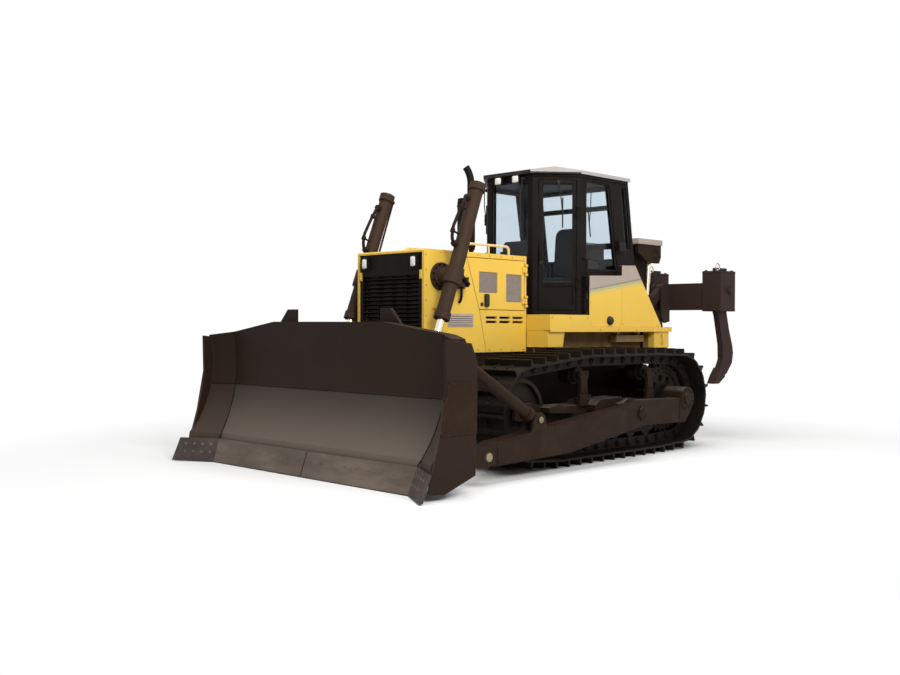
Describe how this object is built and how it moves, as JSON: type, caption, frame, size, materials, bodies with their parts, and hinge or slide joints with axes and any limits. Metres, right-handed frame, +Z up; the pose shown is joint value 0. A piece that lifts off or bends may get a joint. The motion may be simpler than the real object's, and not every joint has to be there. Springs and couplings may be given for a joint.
{
  "type": "crawler bulldozer",
  "caption": "Tracked bulldozer with a semi-U blade on outside push arms, hood-side lift cylinders, a hexagonal cab and a raised multi-shank rear ripper.",
  "frame": {"origin": "ground point under the middle of the overall length and width", "axes": "+X forward towards the blade, +Y to the machine's left, +Z up"},
  "size_m": [6.4152, 3.75, 3.205],
  "materials": {
    "yellow_paint": "satin",
    "dark_paint": "satin",
    "dark_iron": "matte",
    "worn_steel": "worn",
    "plated_rod": "polished",
    "black_paint": "satin",
    "grey_paint": "satin",
    "glass": "clear",
    "seat_cover": "matte",
    "plastic": "matte"
  },
  "bodies": {
    "chassis": {"main_frame": "dark_paint", "engine": "dark_iron", "hood": "yellow_paint", "grille": "black_paint", "headlamps": "glass", "hood_rails": "yellow_paint", "exhaust_stack": "dark_paint", "track_frames": "dark_paint", "tracks": "dark_iron", "sprockets": "dark_paint", "idlers": "dark_paint", "track_rollers": "dark_iron", "carrier_rollers": "dark_iron", "deck": "yellow_paint", "side_tanks": "yellow_paint", "cab_frame": "black_paint", "cab_roof": "grey_paint", "cab_glass": "glass", "seat": "seat_cover", "console": "plastic", "roof_lamps": "black_paint", "ripper_tower": "dark_paint", "lift_brackets": "dark_paint"},
    "blade": {"moldboard": "dark_paint", "blade_wings": "dark_paint", "cutting_edge": "worn_steel", "end_bits": "worn_steel", "push_arms": "dark_paint", "braces": "dark_paint"},
    "lift_barrel_left": {"lift_barrel_left": "dark_paint"},
    "lift_rod_left": {"lift_rod_left": "plated_rod"},
    "lift_barrel_right": {"lift_barrel_right": "dark_paint"},
    "lift_rod_right": {"lift_rod_right": "plated_rod"},
    "ripper_links": {"ripper_lower_links": "dark_paint"},
    "ripper_stays": {"ripper_upper_links": "dark_paint"},
    "ripper": {"ripper_beam": "dark_paint", "ripper_shanks": "dark_iron"},
    "ripper_barrels": {"ripper_barrels": "dark_paint"},
    "ripper_rods": {"ripper_rods": "plated_rod"},
    "cab_door_left": {"cab_door_left": "black_paint", "door_glass_left": "glass"},
    "cab_door_right": {"cab_door_right": "black_paint", "door_glass_right": "glass"},
    "engine_door_left": {"engine_door_left": "yellow_paint"},
    "engine_door_right": {"engine_door_right": "yellow_paint"}
  },
  "joints": [
    {"name": "blade_lift", "type": "hinge", "parent": "chassis", "child": "blade", "pos_m": [-0.38163, 0, 0.5], "axis": [0, -1, 0], "range_deg": [-8, 17]},
    {"name": "lift_swing_left", "type": "hinge", "parent": "chassis", "child": "lift_barrel_left", "pos_m": [1.61637, 0.68, 1.914], "axis": [0, -1, 0], "range_deg": [-4.8, 10]},
    {"name": "lift_stroke_left", "type": "slide", "parent": "lift_barrel_left", "child": "lift_rod_left", "axis": [0.3558, 0, -0.9346], "range_m": [-0.714, 0.337]},
    {"name": "lift_swing_right", "type": "hinge", "parent": "chassis", "child": "lift_barrel_right", "pos_m": [1.61637, -0.68, 1.914], "axis": [0, -1, 0], "range_deg": [-4.8, 10]},
    {"name": "lift_stroke_right", "type": "slide", "parent": "lift_barrel_right", "child": "lift_rod_right", "axis": [0.3558, 0, -0.9346], "range_m": [-0.714, 0.337]},
    {"name": "ripper_lift", "type": "hinge", "parent": "chassis", "child": "ripper_links", "pos_m": [-1.84163, 0, 0.961], "axis": [0, 1, 0], "range_deg": [-74, 3]},
    {"name": "ripper_level", "type": "hinge", "parent": "ripper_links", "child": "ripper", "pos_m": [-2.64027, 0, 1.56282], "axis": [0, 1, 0], "range_deg": [-3.1, 74.1]},
    {"name": "ripper_stay", "type": "hinge", "parent": "chassis", "child": "ripper_stays", "pos_m": [-1.84163, 0, 1.301], "axis": [0, 1, 0], "range_deg": [-74.1, 3.1]},
    {"name": "ripper_jack_swing", "type": "hinge", "parent": "ripper_links", "child": "ripper_barrels", "pos_m": [-2.0333, 0, 1.10544], "axis": [0, 1, 0], "range_deg": [-3.3, 76.5]},
    {"name": "ripper_jack_stroke", "type": "slide", "parent": "ripper_barrels", "child": "ripper_rods", "axis": [-0.0881, 0, 0.9961], "range_m": [-0.0118, 0.285]},
    {"name": "cab_door_left_swing", "type": "hinge", "parent": "chassis", "child": "cab_door_left", "pos_m": [-0.33939, 0.69359, 2.3], "axis": [0, 0, 1], "range_deg": [0, 110]},
    {"name": "cab_door_right_swing", "type": "hinge", "parent": "chassis", "child": "cab_door_right", "pos_m": [-0.33939, -0.69359, 2.3], "axis": [0, 0, -1], "range_deg": [0, 110]},
    {"name": "engine_door_left_swing", "type": "hinge", "parent": "chassis", "child": "engine_door_left", "pos_m": [0.32537, 0.517, 1.86], "axis": [0, 0, 1], "range_deg": [0, 100]},
    {"name": "engine_door_right_swing", "type": "hinge", "parent": "chassis", "child": "engine_door_right", "pos_m": [0.32537, -0.517, 1.86], "axis": [0, 0, -1], "range_deg": [0, 100]}
  ],
  "couplings": [
    {"joint": "lift_swing_left", "follows": "blade_lift", "ratio": 0.58201},
    {"joint": "lift_stroke_left", "follows": "blade_lift", "m_per_rad": -2.3985},
    {"joint": "lift_swing_right", "follows": "blade_lift", "ratio": 0.58201},
    {"joint": "lift_stroke_right", "follows": "blade_lift", "m_per_rad": -2.3985},
    {"joint": "ripper_level", "follows": "ripper_lift", "ratio": -1},
    {"joint": "ripper_stay", "follows": "ripper_lift", "ratio": 1},
    {"joint": "ripper_jack_swing", "follows": "ripper_lift", "ratio": -1.0308},
    {"joint": "ripper_jack_stroke", "follows": "ripper_lift", "m_per_rad": -0.21972}
  ]
}
